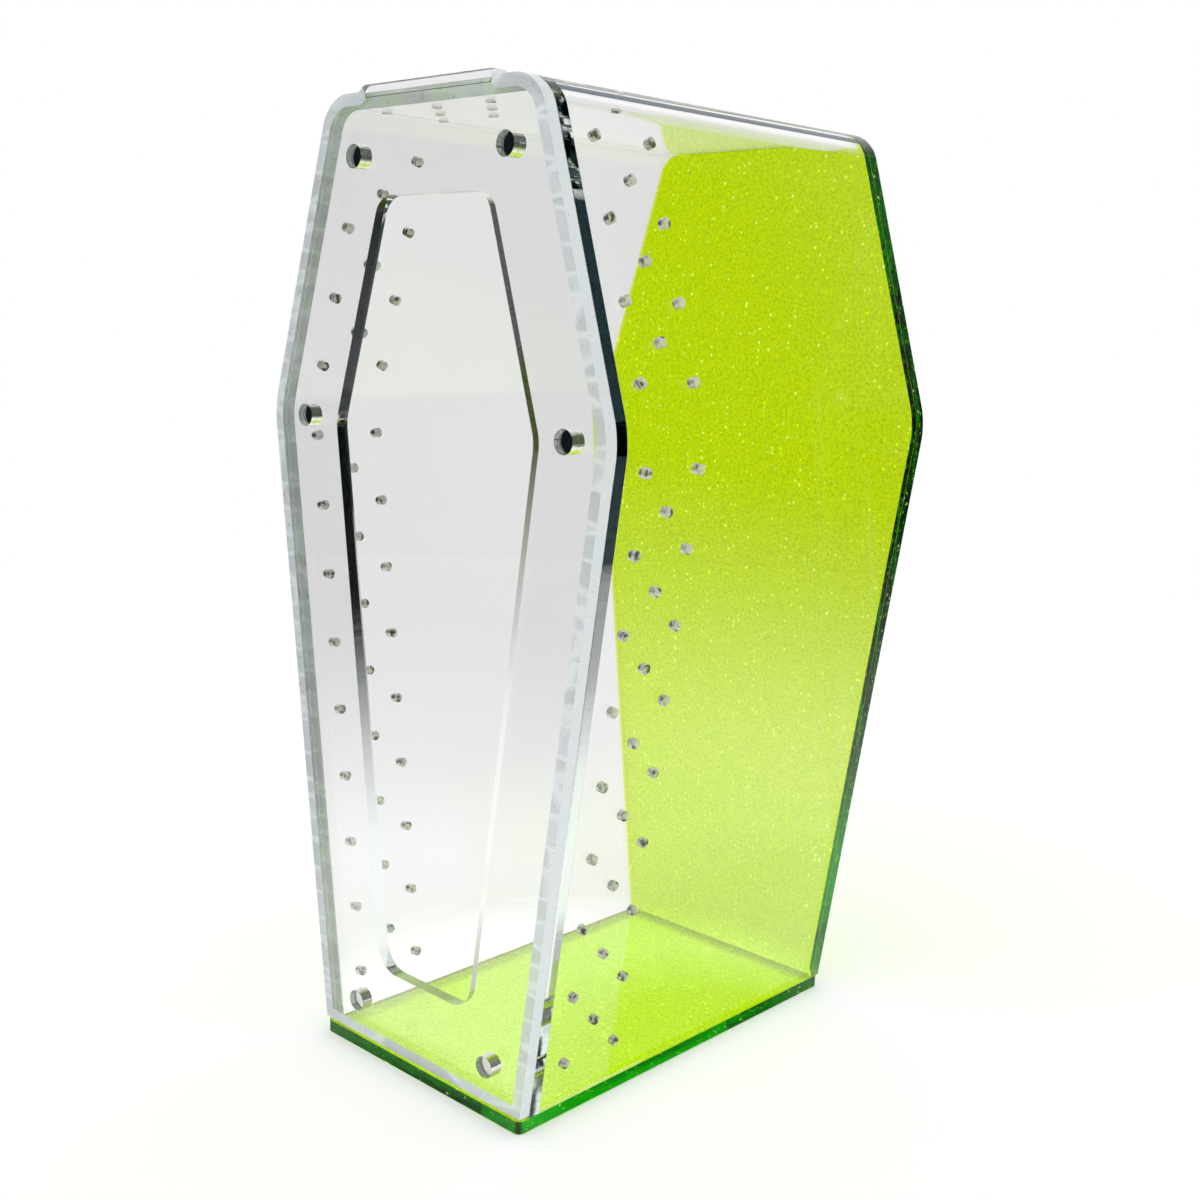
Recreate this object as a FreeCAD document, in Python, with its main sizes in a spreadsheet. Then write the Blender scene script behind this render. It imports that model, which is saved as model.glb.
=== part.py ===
"""Acrylic display terrarium with a coffin-shaped front and a lift-off door held by magnets.

Millimetres, +Z up, the door towards -Y. The origin is the centre of the floor panel's underside.
"""
import FreeCAD, Part
import math
import os

import Sketcher

# Driving dimensions, in millimetres
SIZES = {
    # The coffin outline that the walls, frame, door and back panel share
    "overall_height": 220.0,  # floor underside to the top face of the walls
    "shoulder_height": 152.3,  # floor underside to the widest line
    "top_width": 64.3,  # outside, where the sides would meet the top
    "shoulder_width": 105.9,  # outside, at the widest line
    "floor_width": 68.1,  # floor panel, and outside of the walls where they stand on it
    "corner_radius": 8.5,  # outside of the two bends at the top
    "shoulder_radius": 19.0,  # outside of the two bends at the shoulders
    # The stack from front to back
    "door_thickness": 3.0,  # clear sheet of the door
    "door_gap": 0.1,  # air between the shut door and the frame
    "frame_thickness": 3.0,  # clear sheet of the frame
    "shell_depth": 104.2,  # width of the bent strip
    "back_thickness": 3.0,  # green sheet of the back panel
    "floor_thickness": 3.0,  # green sheet of the floor panel
    "wall_thickness": 3.0,  # clear sheet of the bent strip
    "bond_line": 0.05,  # cement between two welded sheets
    "door_floor_gap": 0.8,  # air under the door, so that it comes off freely
    "floor_corner_radius": 1.5,  # floor panel's corners in plan
    # The frame's opening
    "rim_top": 21.0,  # frame above the opening
    "rim_side": 20.9,  # frame beside the opening, square to its edge
    "rim_bottom": 19.1,  # frame below the opening
    "opening_top_radius": 5.0,  # opening's upper corners
    "opening_shoulder_radius": 9.0,  # opening's shoulders
    "opening_bottom_radius": 6.5,  # opening's lower corners
    # The door's pull tab
    "tab_inset": 10.5,  # foot of the tab from where the side would meet the top
    "tab_height": 1.3,  # above the door's top edge
    "tab_run": 1.7,  # how far each end slopes in
    "tab_radius": 2.0,  # tab's two upper corners
    # The magnets
    "magnet_diameter": 5.0,  # disc magnets in the door and in the frame
    "magnet_thickness": 2.0,  # flush where the door and the frame meet, set back at the other face
    "magnet_clearance": 0.05,  # air round a magnet in its hole
    "magnet_edge_radius": 0.3,  # rounded rim of a magnet
    "magnet_top_drop": 12.8,  # upper pair below the top edge
    "magnet_top_inset": 12.65,  # upper pair from the side edge, level
    "magnet_middle_drop": 1.05,  # middle pair below the shoulder
    "magnet_middle_inset": 11.5,  # middle pair from the side edge, level
    "magnet_bottom_rise": 8.85,  # lower pair above the floor panel
    "magnet_bottom_inset": 12.6,  # lower pair from the side edge, level
    # The vent holes: an outer, an inner and an outer column, staggered by half a pitch
    "vent_diameter": 2.3,  # one vent hole
    "vent_front_inset": 7.0,  # first column from the strip's front end
    "vent_column_spacing": 8.15,  # column to column
    "vent_pitch_lower": 16.7,  # hole to hole in the lower walls
    "vent_pitch_upper": 16.3,  # hole to hole in the upper walls and the top
    "vent_shoulder_inset": 7.0,  # first hole of a lower wall from the shoulder line
    "vent_end_margin": 6.5,  # least distance from a hole's centre to the end of its face
}

doc = FreeCAD.newDocument("terrarium")
sheet = doc.addObject("Spreadsheet::Sheet", "sizes")
for row, (alias, amount) in enumerate(SIZES.items(), start=1):
    sheet.set(f"A{row}", alias.replace("_", " "))
    sheet.set(f"B{row}", str(amount))
    sheet.setAlias(f"B{row}", alias)
doc.recompute()


def value(expression):
    """Work out an expression on the sheet's sizes."""
    return float(sheet.evalExpression(expression))


# Expressions on the sheet, shared by the pieces
DEPTH = (
    "(sizes.door_thickness + sizes.door_gap + sizes.frame_thickness + sizes.bond_line"
    " + sizes.shell_depth + sizes.bond_line + sizes.back_thickness)"
)
BACK_REAR = f"({DEPTH} / 2)"
SHELL_REAR = f"({BACK_REAR} - sizes.back_thickness - sizes.bond_line)"
SHELL_FRONT = f"({SHELL_REAR} - sizes.shell_depth)"
FRAME_REAR = f"({SHELL_FRONT} - sizes.bond_line)"
DOOR_REAR = f"({FRAME_REAR} - sizes.frame_thickness - sizes.door_gap)"
WALL_FOOT = "(sizes.floor_thickness + sizes.bond_line)"
DOOR_FOOT = "(sizes.floor_thickness + sizes.door_floor_gap)"

UPPER_RUN = "((sizes.shoulder_width - sizes.top_width) / 2)"
UPPER_RISE = "(sizes.overall_height - sizes.shoulder_height)"
LOWER_RUN = "((sizes.shoulder_width - sizes.floor_width) / 2)"
LOWER_RISE = "(sizes.shoulder_height - sizes.floor_thickness)"
UPPER_LENGTH = f"sqrt({UPPER_RUN} ^ 2 + {UPPER_RISE} ^ 2)"
LOWER_LENGTH = f"sqrt({LOWER_RUN} ^ 2 + {LOWER_RISE} ^ 2)"


def half_width(height):
    """Expression for half the outline's width at a height above the floor panel, below the shoulder."""
    return f"(sizes.floor_width / 2 + {LOWER_RUN} * ({height} - sizes.floor_thickness) / {LOWER_RISE})"


def origin_plane(body, role):
    """One of a body's own origin planes."""
    return next(feature for feature in body.Origin.OriginFeatures if feature.Role == role)


def new_body(label):
    """An empty sub-part, named as its file will be."""
    body = doc.addObject("PartDesign::Body", label)
    body.Label = label
    return body


def new_sketch(body, name, role):
    """A sketch on one of the body's origin planes."""
    sketch = body.newObject("Sketcher::SketchObject", f"{body.Label}_{name}")
    sketch.AttachmentSupport = (origin_plane(body, role), "")
    sketch.MapMode = "FlatFace"
    return sketch


def closed_lines(sketch, points):
    """Join the points by lines in a loop, and return the number of the first line."""
    first = sketch.GeometryCount
    corners = [FreeCAD.Vector(x, y, 0) for x, y in points]
    for start, end in zip(corners, corners[1:] + corners[:1]):
        sketch.addGeometry(Part.LineSegment(start, end), False)
    count = len(corners)
    for line in range(count):
        following = first + (line + 1) % count
        sketch.addConstraint(Sketcher.Constraint("Coincident", first + line, 2, following, 1))
    return first


def dimension(sketch, kind, references, expression):
    """Add one dimension to a sketch and bind it to the sheet."""
    index = sketch.addConstraint(Sketcher.Constraint(kind, *references, value(expression)))
    sketch.setExpression(f"Constraints[{index}]", expression)


def place_corner(sketch, line, x_expression, y_expression):
    """Set where a line starts, measured from the sketch's origin."""
    dimension(sketch, "DistanceX", (-1, 1, line, 1), x_expression)
    dimension(sketch, "DistanceY", (-1, 1, line, 1), y_expression)


def mirror_corner(sketch, line, other):
    """Make the starts of two lines mirror images about the upright axis."""
    sketch.addConstraint(Sketcher.Constraint("Symmetric", line, 1, other, 1, -2))


def mirrored_loop(right):
    """Corner points for a loop from its right half, given as expressions from the bottom up."""
    half = [(value(x), value(y)) for x, y in right]
    return half + [(-x, y) for x, y in reversed(half)]


def symmetric_loop(sketch, right):
    """A closed loop of lines, symmetric about the upright axis, bound corner by corner to the sheet."""
    points = mirrored_loop(right)
    first = closed_lines(sketch, points)
    for number, (x, y) in enumerate(right):
        place_corner(sketch, first + number, x, y)
        mirror_corner(sketch, first + number, first + len(points) - 1 - number)
    return first


def coffin_corners(foot):
    """Right half of the coffin outline, from its foot up, as expressions."""
    return [
        (half_width(foot), foot),
        ("sizes.shoulder_width / 2", "sizes.shoulder_height"),
        ("sizes.top_width / 2", "sizes.overall_height"),
    ]


def circle_at(sketch, x_expression, y_expression, radius):
    """A circle whose centre and radius are bound to the sheet."""
    centre = FreeCAD.Vector(value(x_expression), value(y_expression), 0)
    circle = sketch.addGeometry(Part.Circle(centre, FreeCAD.Vector(0, 0, 1), value(radius)), False)
    dimension(sketch, "DistanceX", (-1, 1, circle, 3), x_expression)
    dimension(sketch, "DistanceY", (-1, 1, circle, 3), y_expression)
    dimension(sketch, "Radius", (circle,), radius)


def pad(body, sketch, length):
    """Give a sketch its thickness."""
    feature = body.newObject("PartDesign::Pad", f"{body.Label}_pad")
    feature.Profile = sketch
    feature.setExpression("Length", length)
    doc.recompute()
    return feature


SAME_PLACE = 1e-4


def lengthwise_edges(shape, places):
    """Names of the straight edges that run from front to back through the given (x, z) places."""
    names = []
    for number, edge in enumerate(shape.Edges, start=1):
        start, end = edge.Vertexes[0].Point, edge.Vertexes[-1].Point
        if math.hypot(start.x - end.x, start.z - end.z) > SAME_PLACE:
            continue
        if any(math.hypot(start.x - x, start.z - z) < SAME_PLACE for x, z in places):
            names.append(f"Edge{number}")
    return names


def fillet(body, name, edges, radius):
    """Round the named edges of the body's last feature."""
    last = body.Tip
    feature = body.newObject("PartDesign::Fillet", f"{body.Label}_{name}")
    feature.Base = (last, edges)
    feature.setExpression("Radius", radius)
    doc.recompute()


def round_corners(body, name, right_place, radius):
    """Round one corner of a plate and its mirror image, all the way through."""
    x, z = right_place
    edges = lengthwise_edges(body.Tip.Shape, [(x, z), (-x, z)])
    fillet(body, name, edges, radius)


def round_outline(body):
    """Round the two top corners and the two shoulders of a coffin outline."""
    top = (value("sizes.top_width / 2"), value("sizes.overall_height"))
    shoulder = (value("sizes.shoulder_width / 2"), value("sizes.shoulder_height"))
    round_corners(body, "top_corners", top, "sizes.corner_radius")
    round_corners(body, "shoulders", shoulder, "sizes.shoulder_radius")


# Where the six magnets sit, as expressions for the right-hand one of each pair
MAGNET_TOP_Z = "(sizes.overall_height - sizes.magnet_top_drop)"
MAGNET_MIDDLE_Z = "(sizes.shoulder_height - sizes.magnet_middle_drop)"
MAGNET_BOTTOM_Z = "(sizes.floor_thickness + sizes.magnet_bottom_rise)"
TOP_EDGE_X = f"(sizes.top_width / 2 + {UPPER_RUN} * sizes.magnet_top_drop / {UPPER_RISE})"
MAGNETS = {
    "top": (f"({TOP_EDGE_X} - sizes.magnet_top_inset)", MAGNET_TOP_Z),
    "middle": (f"({half_width(MAGNET_MIDDLE_Z)} - sizes.magnet_middle_inset)", MAGNET_MIDDLE_Z),
    "bottom": (f"({half_width(MAGNET_BOTTOM_Z)} - sizes.magnet_bottom_inset)", MAGNET_BOTTOM_Z),
}
SIDES = {"left": -1, "right": 1}
FRAME_MAGNET_REAR = f"({FRAME_REAR} - sizes.frame_thickness + sizes.magnet_thickness)"


def magnet_holes(body, thickness):
    """Cut the six magnet holes through a plate."""
    sketch = new_sketch(body, "magnet_holes", "XZ_Plane")
    radius = "(sizes.magnet_diameter / 2 + sizes.magnet_clearance)"
    for x, z in MAGNETS.values():
        for sign in SIDES.values():
            circle_at(sketch, f"{sign} * {x}", z, radius)
    pocket = body.newObject("PartDesign::Pocket", f"{body.Label}_magnet_pockets")
    pocket.Profile = sketch
    pocket.setExpression("Length", thickness)
    pocket.Reversed = True
    doc.recompute()


def make_floor_panel():
    """Green glitter rectangle that everything else stands on."""
    body = new_body("floor_panel")
    sketch = new_sketch(body, "outline", "XY_Plane")
    half_depth = f"{DEPTH} / 2"
    symmetric_loop(sketch, [
        ("sizes.floor_width / 2", f"-{half_depth}"),
        ("sizes.floor_width / 2", half_depth),
    ])
    plate = pad(body, sketch, "sizes.floor_thickness")
    upright = [
        f"Edge{number}"
        for number, edge in enumerate(plate.Shape.Edges, start=1)
        if abs(edge.Vertexes[0].Point.z - edge.Vertexes[-1].Point.z) > SAME_PLACE
    ]
    fillet(body, "corners", upright, "sizes.floor_corner_radius")
    return body


def make_back_panel():
    """Green glitter coffin plate welded to the rear end of the walls."""
    body = new_body("back_panel")
    sketch = new_sketch(body, "outline", "XZ_Plane")
    symmetric_loop(sketch, coffin_corners(WALL_FOOT))
    pad(body, sketch, "sizes.back_thickness")
    round_outline(body)
    body.setExpression("Placement.Base.y", BACK_REAR)
    return body


def inset_corner(corner, before, after, inset_before, inset_after):
    """Where two lines through a corner meet once each is moved inwards (left of its direction)."""
    def moved(start, end, inset):
        dx, dz = end[0] - start[0], end[1] - start[1]
        length = math.hypot(dx, dz)
        return (start[0] - dz / length * inset, start[1] + dx / length * inset), (dx, dz)

    (x1, z1), (dx1, dz1) = moved(before, corner, inset_before)
    (x2, z2), (dx2, dz2) = moved(corner, after, inset_after)
    step = ((x2 - x1) * dz2 - (z2 - z1) * dx2) / (dx1 * dz2 - dz1 * dx2)
    return x1 + step * dx1, z1 + step * dz1


def offset_lines(sketch, inner, outer, inset):
    """Keep a line parallel to another, a set distance inside it."""
    sketch.addConstraint(Sketcher.Constraint("Parallel", inner, outer))
    dimension(sketch, "Distance", (inner, 1, outer), inset)


def make_front_frame():
    """Clear coffin ring welded to the front end of the walls, with the opening that the door shuts."""
    body = new_body("front_frame")
    sketch = new_sketch(body, "outline", "XZ_Plane")
    outline = symmetric_loop(sketch, coffin_corners(WALL_FOOT))
    foot, shoulder, top = [(value(x), value(z)) for x, z in coffin_corners(WALL_FOOT)]
    mirror_foot, mirror_top = (-foot[0], foot[1]), (-top[0], top[1])
    rim_side, rim_top = value("sizes.rim_side"), value("sizes.rim_top")
    rim_bottom = value("sizes.rim_bottom")
    inner = [
        inset_corner(foot, mirror_foot, shoulder, rim_bottom, rim_side),
        inset_corner(shoulder, foot, top, rim_side, rim_side),
        inset_corner(top, shoulder, mirror_top, rim_side, rim_top),
    ]
    loop = inner + [(-x, z) for x, z in reversed(inner)]
    opening = closed_lines(sketch, loop)
    for number in range(len(inner)):
        mirror_corner(sketch, opening + number, opening + len(loop) - 1 - number)
    offset_lines(sketch, opening, outline, "sizes.rim_side")
    offset_lines(sketch, opening + 1, outline + 1, "sizes.rim_side")
    dimension(sketch, "DistanceY", (opening, 1), f"{WALL_FOOT} + sizes.rim_bottom")
    dimension(sketch, "DistanceY", (opening + 2, 1), "sizes.overall_height - sizes.rim_top")
    pad(body, sketch, "sizes.frame_thickness")
    round_outline(body)
    round_corners(body, "opening_foot", inner[0], "sizes.opening_bottom_radius")
    round_corners(body, "opening_shoulders", inner[1], "sizes.opening_shoulder_radius")
    round_corners(body, "opening_top", inner[2], "sizes.opening_top_radius")
    magnet_holes(body, "sizes.frame_thickness")
    body.setExpression("Placement.Base.y", FRAME_REAR)
    return body


def make_door():
    """Clear coffin plate with a pull tab, held against the frame by the magnets."""
    body = new_body("door")
    sketch = new_sketch(body, "outline", "XZ_Plane")
    tab_foot = ("sizes.top_width / 2 - sizes.tab_inset", "sizes.overall_height")
    tab_top = (f"{tab_foot[0]} - sizes.tab_run", f"{tab_foot[1]} + sizes.tab_height")
    symmetric_loop(sketch, coffin_corners(DOOR_FOOT) + [tab_foot, tab_top])
    pad(body, sketch, "sizes.door_thickness")
    round_outline(body)
    tab_corner = (value(tab_top[0]), value(tab_top[1]))
    round_corners(body, "tab_corners", tab_corner, "sizes.tab_radius")
    magnet_holes(body, "sizes.door_thickness")
    body.setExpression("Placement.Base.y", DOOR_REAR)
    return body


def drill_face(body, face, plane, offset, lean, first, heading, count, pitch, along, across):
    """Drill one face of the strip: two outer columns of vent holes and a staggered one between them.

    The sketches lie in the face. offset places them from the origin plane, and lean is an axis and an
    angle that tilt them. first is the first hole's distance from the sketch's origin, heading says
    which way the holes follow it, and along and across name the sketch's axes for the holes of a
    column and for the columns.
    """
    front_column = "-sizes.shell_depth + sizes.vent_front_inset"
    groups = {
        "outer": (first, [0, 2], count),
        "inner": (f"{first} + {pitch} / 2", [1], f"{count} - 1"),
    }
    axis, angle = lean
    for name, (place, columns, copies) in groups.items():
        sketch = new_sketch(body, f"{face}_{name}_vent", plane)
        tilt = FreeCAD.Rotation(FreeCAD.Vector(axis, 0, 0), value(angle))
        sketch.AttachmentOffset = FreeCAD.Placement(FreeCAD.Vector(), tilt)
        for letter, expression in offset.items():
            sketch.setExpression(f".AttachmentOffset.Base.{letter}", expression)
        sketch.setExpression(".AttachmentOffset.Rotation.Angle", angle)
        for column in columns:
            spot = {
                along: f"{heading} * ({place})",
                across: f"{front_column} + {column} * sizes.vent_column_spacing",
            }
            circle_at(sketch, spot["H_Axis"], spot["V_Axis"], "sizes.vent_diameter / 2")
        pocket = body.newObject("PartDesign::Pocket", f"{sketch.Name}_hole")
        pocket.Profile = sketch
        pocket.SideType = "Symmetric"
        pocket.setExpression("Length", "4 * sizes.wall_thickness")
        doc.recompute()
        pattern = body.newObject("PartDesign::LinearPattern", f"{sketch.Name}_holes")
        pattern.Originals = [pocket]
        pattern.Direction = (sketch, [along])
        pattern.Reversed = heading < 0
        pattern.Mode = "Spacing"
        pattern.setExpression("Offset", pitch)
        pattern.setExpression("Occurrences", copies)
        body.Tip = pattern
        doc.recompute()


def drill_vents(body):
    """Drill the two lower walls, the two upper walls and the top of the strip."""
    lower_pitch, upper_pitch = "sizes.vent_pitch_lower", "sizes.vent_pitch_upper"
    lower_room = f"({LOWER_LENGTH} - sizes.vent_shoulder_inset - sizes.vent_end_margin)"
    lower_count = f"(floor({lower_room} / {lower_pitch}) + 1)"
    upper_count = f"(floor(({UPPER_LENGTH} - 2 * sizes.vent_end_margin) / {upper_pitch}) + 1)"
    upper_first = f"(({UPPER_LENGTH} - ({upper_count} - 1) * {upper_pitch}) / 2)"
    top_count = f"(floor((sizes.top_width - 2 * sizes.vent_end_margin) / {upper_pitch}) + 1)"
    top_first = f"(-({top_count} - 1) * {upper_pitch} / 2)"
    for side, sign in SIDES.items():
        shoulder = {"y": "sizes.shoulder_height", "z": f"{sign} * sizes.shoulder_width / 2"}
        lower_lean = (sign, f"atan({LOWER_RUN} / {LOWER_RISE})")
        upper_lean = (-sign, f"atan({UPPER_RUN} / {UPPER_RISE})")
        drill_face(
            body, f"lower_{side}", "YZ_Plane", shoulder, lower_lean,
            "sizes.vent_shoulder_inset", -1, lower_count, lower_pitch, "V_Axis", "H_Axis",
        )
        drill_face(
            body, f"upper_{side}", "YZ_Plane", shoulder, upper_lean,
            upper_first, 1, upper_count, upper_pitch, "V_Axis", "H_Axis",
        )
    drill_face(
        body, "top", "XY_Plane", {"z": "sizes.overall_height"}, (1, "0"),
        top_first, 1, top_count, upper_pitch, "H_Axis", "V_Axis",
    )


def make_wall_shell():
    """Clear strip bent at four lines into the walls and the top, with vent holes near its front end."""
    body = new_body("wall_shell")
    sketch = new_sketch(body, "outline", "XZ_Plane")
    corners = coffin_corners(WALL_FOOT)
    foot, shoulder, top = [(value(x), value(z)) for x, z in corners]
    mirror_top = (-top[0], top[1])
    wall = value("sizes.wall_thickness")
    inner_shoulder = inset_corner(shoulder, foot, top, wall, wall)
    inner_top = inset_corner(top, shoulder, mirror_top, wall, wall)
    slope = (shoulder[0] - foot[0]) / (shoulder[1] - foot[1])
    inner_foot = (inner_shoulder[0] - slope * (inner_shoulder[1] - foot[1]), foot[1])
    outer_right = [foot, shoulder, top]
    inner_right = [inner_foot, inner_shoulder, inner_top]
    loop = outer_right + [(-x, z) for x, z in reversed(outer_right)]
    loop += [(-x, z) for x, z in inner_right] + list(reversed(inner_right))
    lower_outside = closed_lines(sketch, loop)
    upper_outside = lower_outside + 1
    inner_left_foot = lower_outside + 2 * len(corners)
    foot_edge = lower_outside + len(loop) - 1
    lower_inside, upper_inside = foot_edge - 1, foot_edge - 2
    for number, (x, z) in enumerate(corners):
        place_corner(sketch, lower_outside + number, x, z)
        mirror_corner(sketch, lower_outside + number, inner_left_foot - 1 - number)
        mirror_corner(sketch, inner_left_foot + number, foot_edge - number)
    sketch.addConstraint(Sketcher.Constraint("Horizontal", foot_edge))
    offset_lines(sketch, lower_inside, lower_outside, "sizes.wall_thickness")
    offset_lines(sketch, upper_inside, upper_outside, "sizes.wall_thickness")
    dimension(sketch, "DistanceY", (upper_inside, 1), "sizes.overall_height - sizes.wall_thickness")
    pad(body, sketch, "sizes.shell_depth")
    round_outline(body)
    round_corners(body, "inner_top", inner_top, "sizes.corner_radius - sizes.wall_thickness")
    round_corners(body, "inner_shoulders", inner_shoulder, "sizes.shoulder_radius - sizes.wall_thickness")
    drill_vents(body)
    body.setExpression("Placement.Base.y", SHELL_REAR)
    return body


def make_magnet(host, rear, level, side):
    """Nickel-plated disc, flush with the face where the door and the frame meet."""
    body = new_body(f"{host}_magnet_{level}_{side}")
    sketch = new_sketch(body, "outline", "XZ_Plane")
    circle_at(sketch, "0", "0", "sizes.magnet_diameter / 2")
    disc = pad(body, sketch, "sizes.magnet_thickness")
    rims = [
        f"Edge{number}"
        for number, edge in enumerate(disc.Shape.Edges, start=1)
        if isinstance(edge.Curve, Part.Circle)
    ]
    fillet(body, "rims", rims, "sizes.magnet_edge_radius")
    x, z = MAGNETS[level]
    body.setExpression("Placement.Base.x", f"{SIDES[side]} * {x}")
    body.setExpression("Placement.Base.y", rear)
    body.setExpression("Placement.Base.z", z)
    return body


sub_parts = [
    make_floor_panel(),
    make_back_panel(),
    make_wall_shell(),
    make_front_frame(),
    make_door(),
]
for level in MAGNETS:
    for side in SIDES:
        sub_parts.append(make_magnet("frame", FRAME_MAGNET_REAR, level, side))
        sub_parts.append(make_magnet("door", DOOR_REAR, level, side))
doc.recompute()

for item in doc.Objects:
    if "Invalid" in item.State or "Error" in item.State:
        raise RuntimeError(f"{item.Label} did not compute: {item.State}")
for part in sub_parts:
    if part.Shape.isNull() or not part.Shape.isValid() or len(part.Shape.Solids) != 1:
        raise RuntimeError(f"{part.Label} is not one sound solid")

os.makedirs("parts", exist_ok=True)
for part in sub_parts:
    part.Shape.exportStep(f"parts/{part.Label}.step")
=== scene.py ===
"""Acrylic display terrarium with a coffin-shaped front, dressed on its CAD frame.

Metres, +Z up, the door towards -Y. The sections follow the order in which the terrarium is put together.
"""
import bmesh
import bpy
import math
from mathutils import Matrix, Vector


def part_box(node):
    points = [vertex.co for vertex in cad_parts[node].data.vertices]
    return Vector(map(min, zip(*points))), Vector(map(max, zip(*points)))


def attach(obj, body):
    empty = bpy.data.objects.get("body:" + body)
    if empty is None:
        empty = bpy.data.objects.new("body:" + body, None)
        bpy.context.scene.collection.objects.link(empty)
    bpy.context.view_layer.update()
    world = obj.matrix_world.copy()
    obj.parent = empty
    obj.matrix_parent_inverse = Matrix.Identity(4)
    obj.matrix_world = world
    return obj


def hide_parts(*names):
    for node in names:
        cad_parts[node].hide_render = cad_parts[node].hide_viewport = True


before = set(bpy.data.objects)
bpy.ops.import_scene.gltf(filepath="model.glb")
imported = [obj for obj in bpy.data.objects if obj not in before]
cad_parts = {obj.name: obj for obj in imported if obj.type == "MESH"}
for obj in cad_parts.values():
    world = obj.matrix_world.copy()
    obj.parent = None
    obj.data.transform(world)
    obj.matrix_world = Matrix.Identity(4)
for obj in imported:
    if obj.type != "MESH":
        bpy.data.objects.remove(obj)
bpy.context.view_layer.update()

# Floor panel
# A rectangle of green glitter acrylic, 3 mm thick, laser-cut with softly rounded corners. Everything else
# is cemented on top of it, and its underside is what the terrarium rests on.
FLOOR_LOW, FLOOR_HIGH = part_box("floor_panel")
FLOOR_TOP = FLOOR_HIGH.z
FLOOR_CORNER = 0.0015
FLOOR_CORNER_STEPS = 10
# The floor's copy of the green sheet is given less dye than the back panel's, so that it shows lighter.
FLOOR_DYE_STRENGTH = 1300.0
GREEN_DYE = (0.938, 0.991, 0.0, 1.0)
GREEN_EDGE_ROUGHNESS = 0.12
GRAIN_DARK = (0.70, 0.76, 0.50, 1.0)
GRAIN_SCALE = 1500.0
FLAKE_SCALE = 650.0
# Painted glint: the colour that the glitter flakes glow with.
PAINTED_GLINT = (0.42, 0.48, 0.20, 1.0)
WHITE = (1.0, 1.0, 1.0, 1.0)
BLACK = (0.0, 0.0, 0.0, 1.0)
ACRYLIC_IOR = 1.49
EDGE_STREAK_DEPTH = 0.00005
CREASE_ANGLE = 0.6
ACROSS = 0.5


def node(tree, kind, feeds=None, **options):
    """Add a node, set its options, and give each named input a value or a link."""
    made = tree.nodes.new(kind)
    for name, value in options.items():
        setattr(made, name, value)
    for name, value in (feeds or {}).items():
        if isinstance(value, bpy.types.NodeSocket):
            tree.links.new(value, made.inputs[name])
        else:
            made.inputs[name].default_value = value
    return made


def blend(tree, share, first, second):
    """A colour that goes from the first to the second as the share goes from 0 to 1."""
    return node(tree, "ShaderNodeMix", {0: share, 6: first, 7: second}, data_type="RGBA").outputs[2]


def fade(tree, share, first, second):
    """A number that goes from the first to the second as the share goes from 0 to 1."""
    return node(tree, "ShaderNodeMix", {0: share, 2: first, 3: second}).outputs[0]


def scaled(tree, value, low, high, to_low=0.0, to_high=1.0, **options):
    """A number brought from one range to another, and held at its ends."""
    feeds = {"Value": value, "From Min": low, "From Max": high, "To Min": to_low, "To Max": to_high}
    return node(tree, "ShaderNodeMapRange", feeds, **options).outputs["Result"]


def sum_of(tree, operation, first, second):
    """Two numbers put together by one operation."""
    return node(tree, "ShaderNodeMath", {0: first, 1: second}, operation=operation).outputs["Value"]


def noise(tree, place, scale, detail, **more):
    """Cloudy noise between 0 and 1 at a place."""
    feeds = {"Vector": place, "Scale": scale, "Detail": detail}
    for name, value in more.items():
        feeds[name.capitalize()] = value
    return node(tree, "ShaderNodeTexNoise", feeds).outputs["Fac"]


def object_place(tree):
    """The place on the piece itself."""
    return node(tree, "ShaderNodeTexCoord").outputs["Object"]


def new_group(name, inputs, outputs):
    """An empty node group with its sockets, given as pairs of name and kind."""
    group = bpy.data.node_groups.new(name, "ShaderNodeTree")
    for direction, sockets in (("INPUT", inputs), ("OUTPUT", outputs)):
        for socket, kind in sockets:
            group.interface.new_socket(socket, in_out=direction, socket_type="NodeSocket" + kind)
    return group, group.nodes.new("NodeGroupInput").outputs, group.nodes.new("NodeGroupOutput").inputs


def make_sheet_finish():
    """Faint smudges on the polished faces of a sheet, and the streaks of the laser on its cut edges."""
    group, given, result = new_group(
        "sheet_finish",
        [("Cut", "Float"), ("Edge Roughness", "Float"), ("Edge Tint", "Color")],
        [("Tint", "Color"), ("Roughness", "Float"), ("Height", "Float")],
    )
    place = object_place(group)
    smudge = scaled(group, noise(group, place, 45.0, 4.0), 0.56, 0.80, 0.0, 0.05)
    along = node(group, "ShaderNodeMapping", {"Vector": place, "Scale": (1.0, 0.03, 1.0)})
    streak = noise(group, along.outputs["Vector"], 520.0, 3.0, roughness=0.62)
    matt = scaled(group, streak, 0.3, 0.7, 0.02, given["Edge Roughness"])
    # Where Cut is 1 the edge tint goes on; some materials give that tint as a painted dark reflection.
    group.links.new(blend(group, given["Cut"], WHITE, given["Edge Tint"]), result["Tint"])
    group.links.new(fade(group, given["Cut"], smudge, matt), result["Roughness"])
    group.links.new(sum_of(group, "MULTIPLY", streak, given["Cut"]), result["Height"])
    return group


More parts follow.
